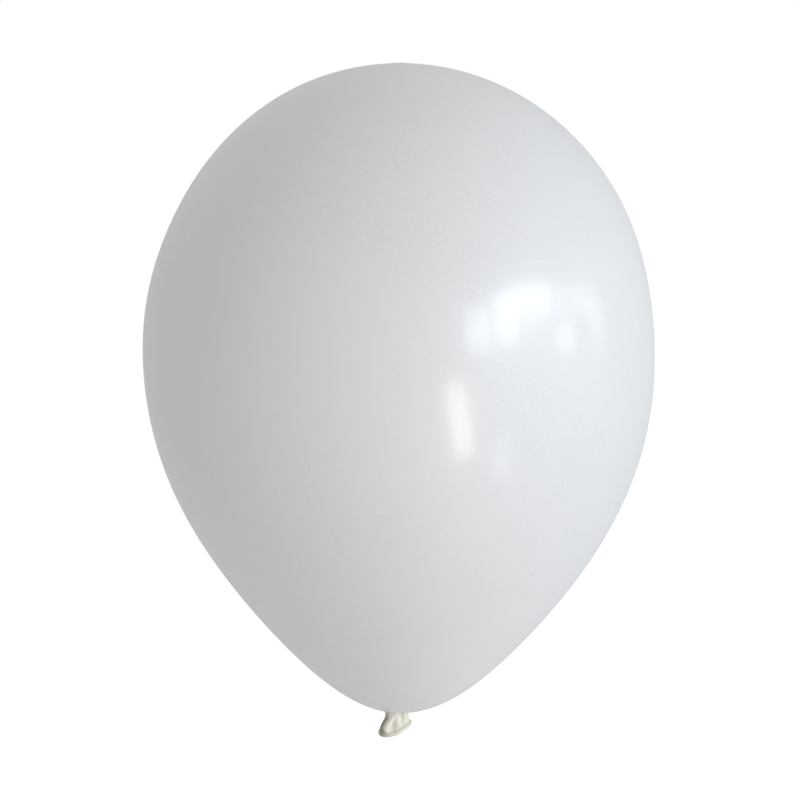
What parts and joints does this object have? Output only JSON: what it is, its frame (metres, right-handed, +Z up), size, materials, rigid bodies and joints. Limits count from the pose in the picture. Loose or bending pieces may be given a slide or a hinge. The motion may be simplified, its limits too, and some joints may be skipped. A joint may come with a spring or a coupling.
{
  "type": "latex balloon",
  "caption": "Inflated teardrop latex balloon, closed by a knot in its gathered neck, with a short flared tail ending in a rolled lip.",
  "frame": {"origin": "middle of the waist of the tied neck, where a ribbon is tied, between the inflated envelope and the knot", "axes": "+Z up the balloon from its knot to its crown; -Y is the front, where the tail leaves the knot; +X is the right seen from the front"},
  "size_m": [0.28, 0.28, 0.3743],
  "materials": {
    "stretched_latex": "pearl white film, smooth semi-gloss, stretched thin",
    "gathered_latex": "cream white, unstretched, satin, pleated"
  },
  "bodies": {
    "balloon": {"envelope": "stretched_latex", "neck": "gathered_latex"},
    "knot": {"knot_core": "gathered_latex", "knot_wrap": "gathered_latex"},
    "free_end": {"tail": "gathered_latex", "rolled_lip": "gathered_latex"}
  },
  "joints": [
    {"name": "neck_flex", "type": "hinge", "parent": "balloon", "child": "knot", "pos_m": [0, 0, -0.0012], "axis": [0, 1, 0], "range_deg": [-12, 12], "stiffness_Nm_per_rad": 0.00005},
    {"name": "tail_flex", "type": "hinge", "parent": "knot", "child": "free_end", "pos_m": [-0.003, -0.0032, -0.0038], "axis": [-0.9455, 0, -0.3256], "range_deg": [-5, 60], "stiffness_Nm_per_rad": 0.00002}
  ]
}
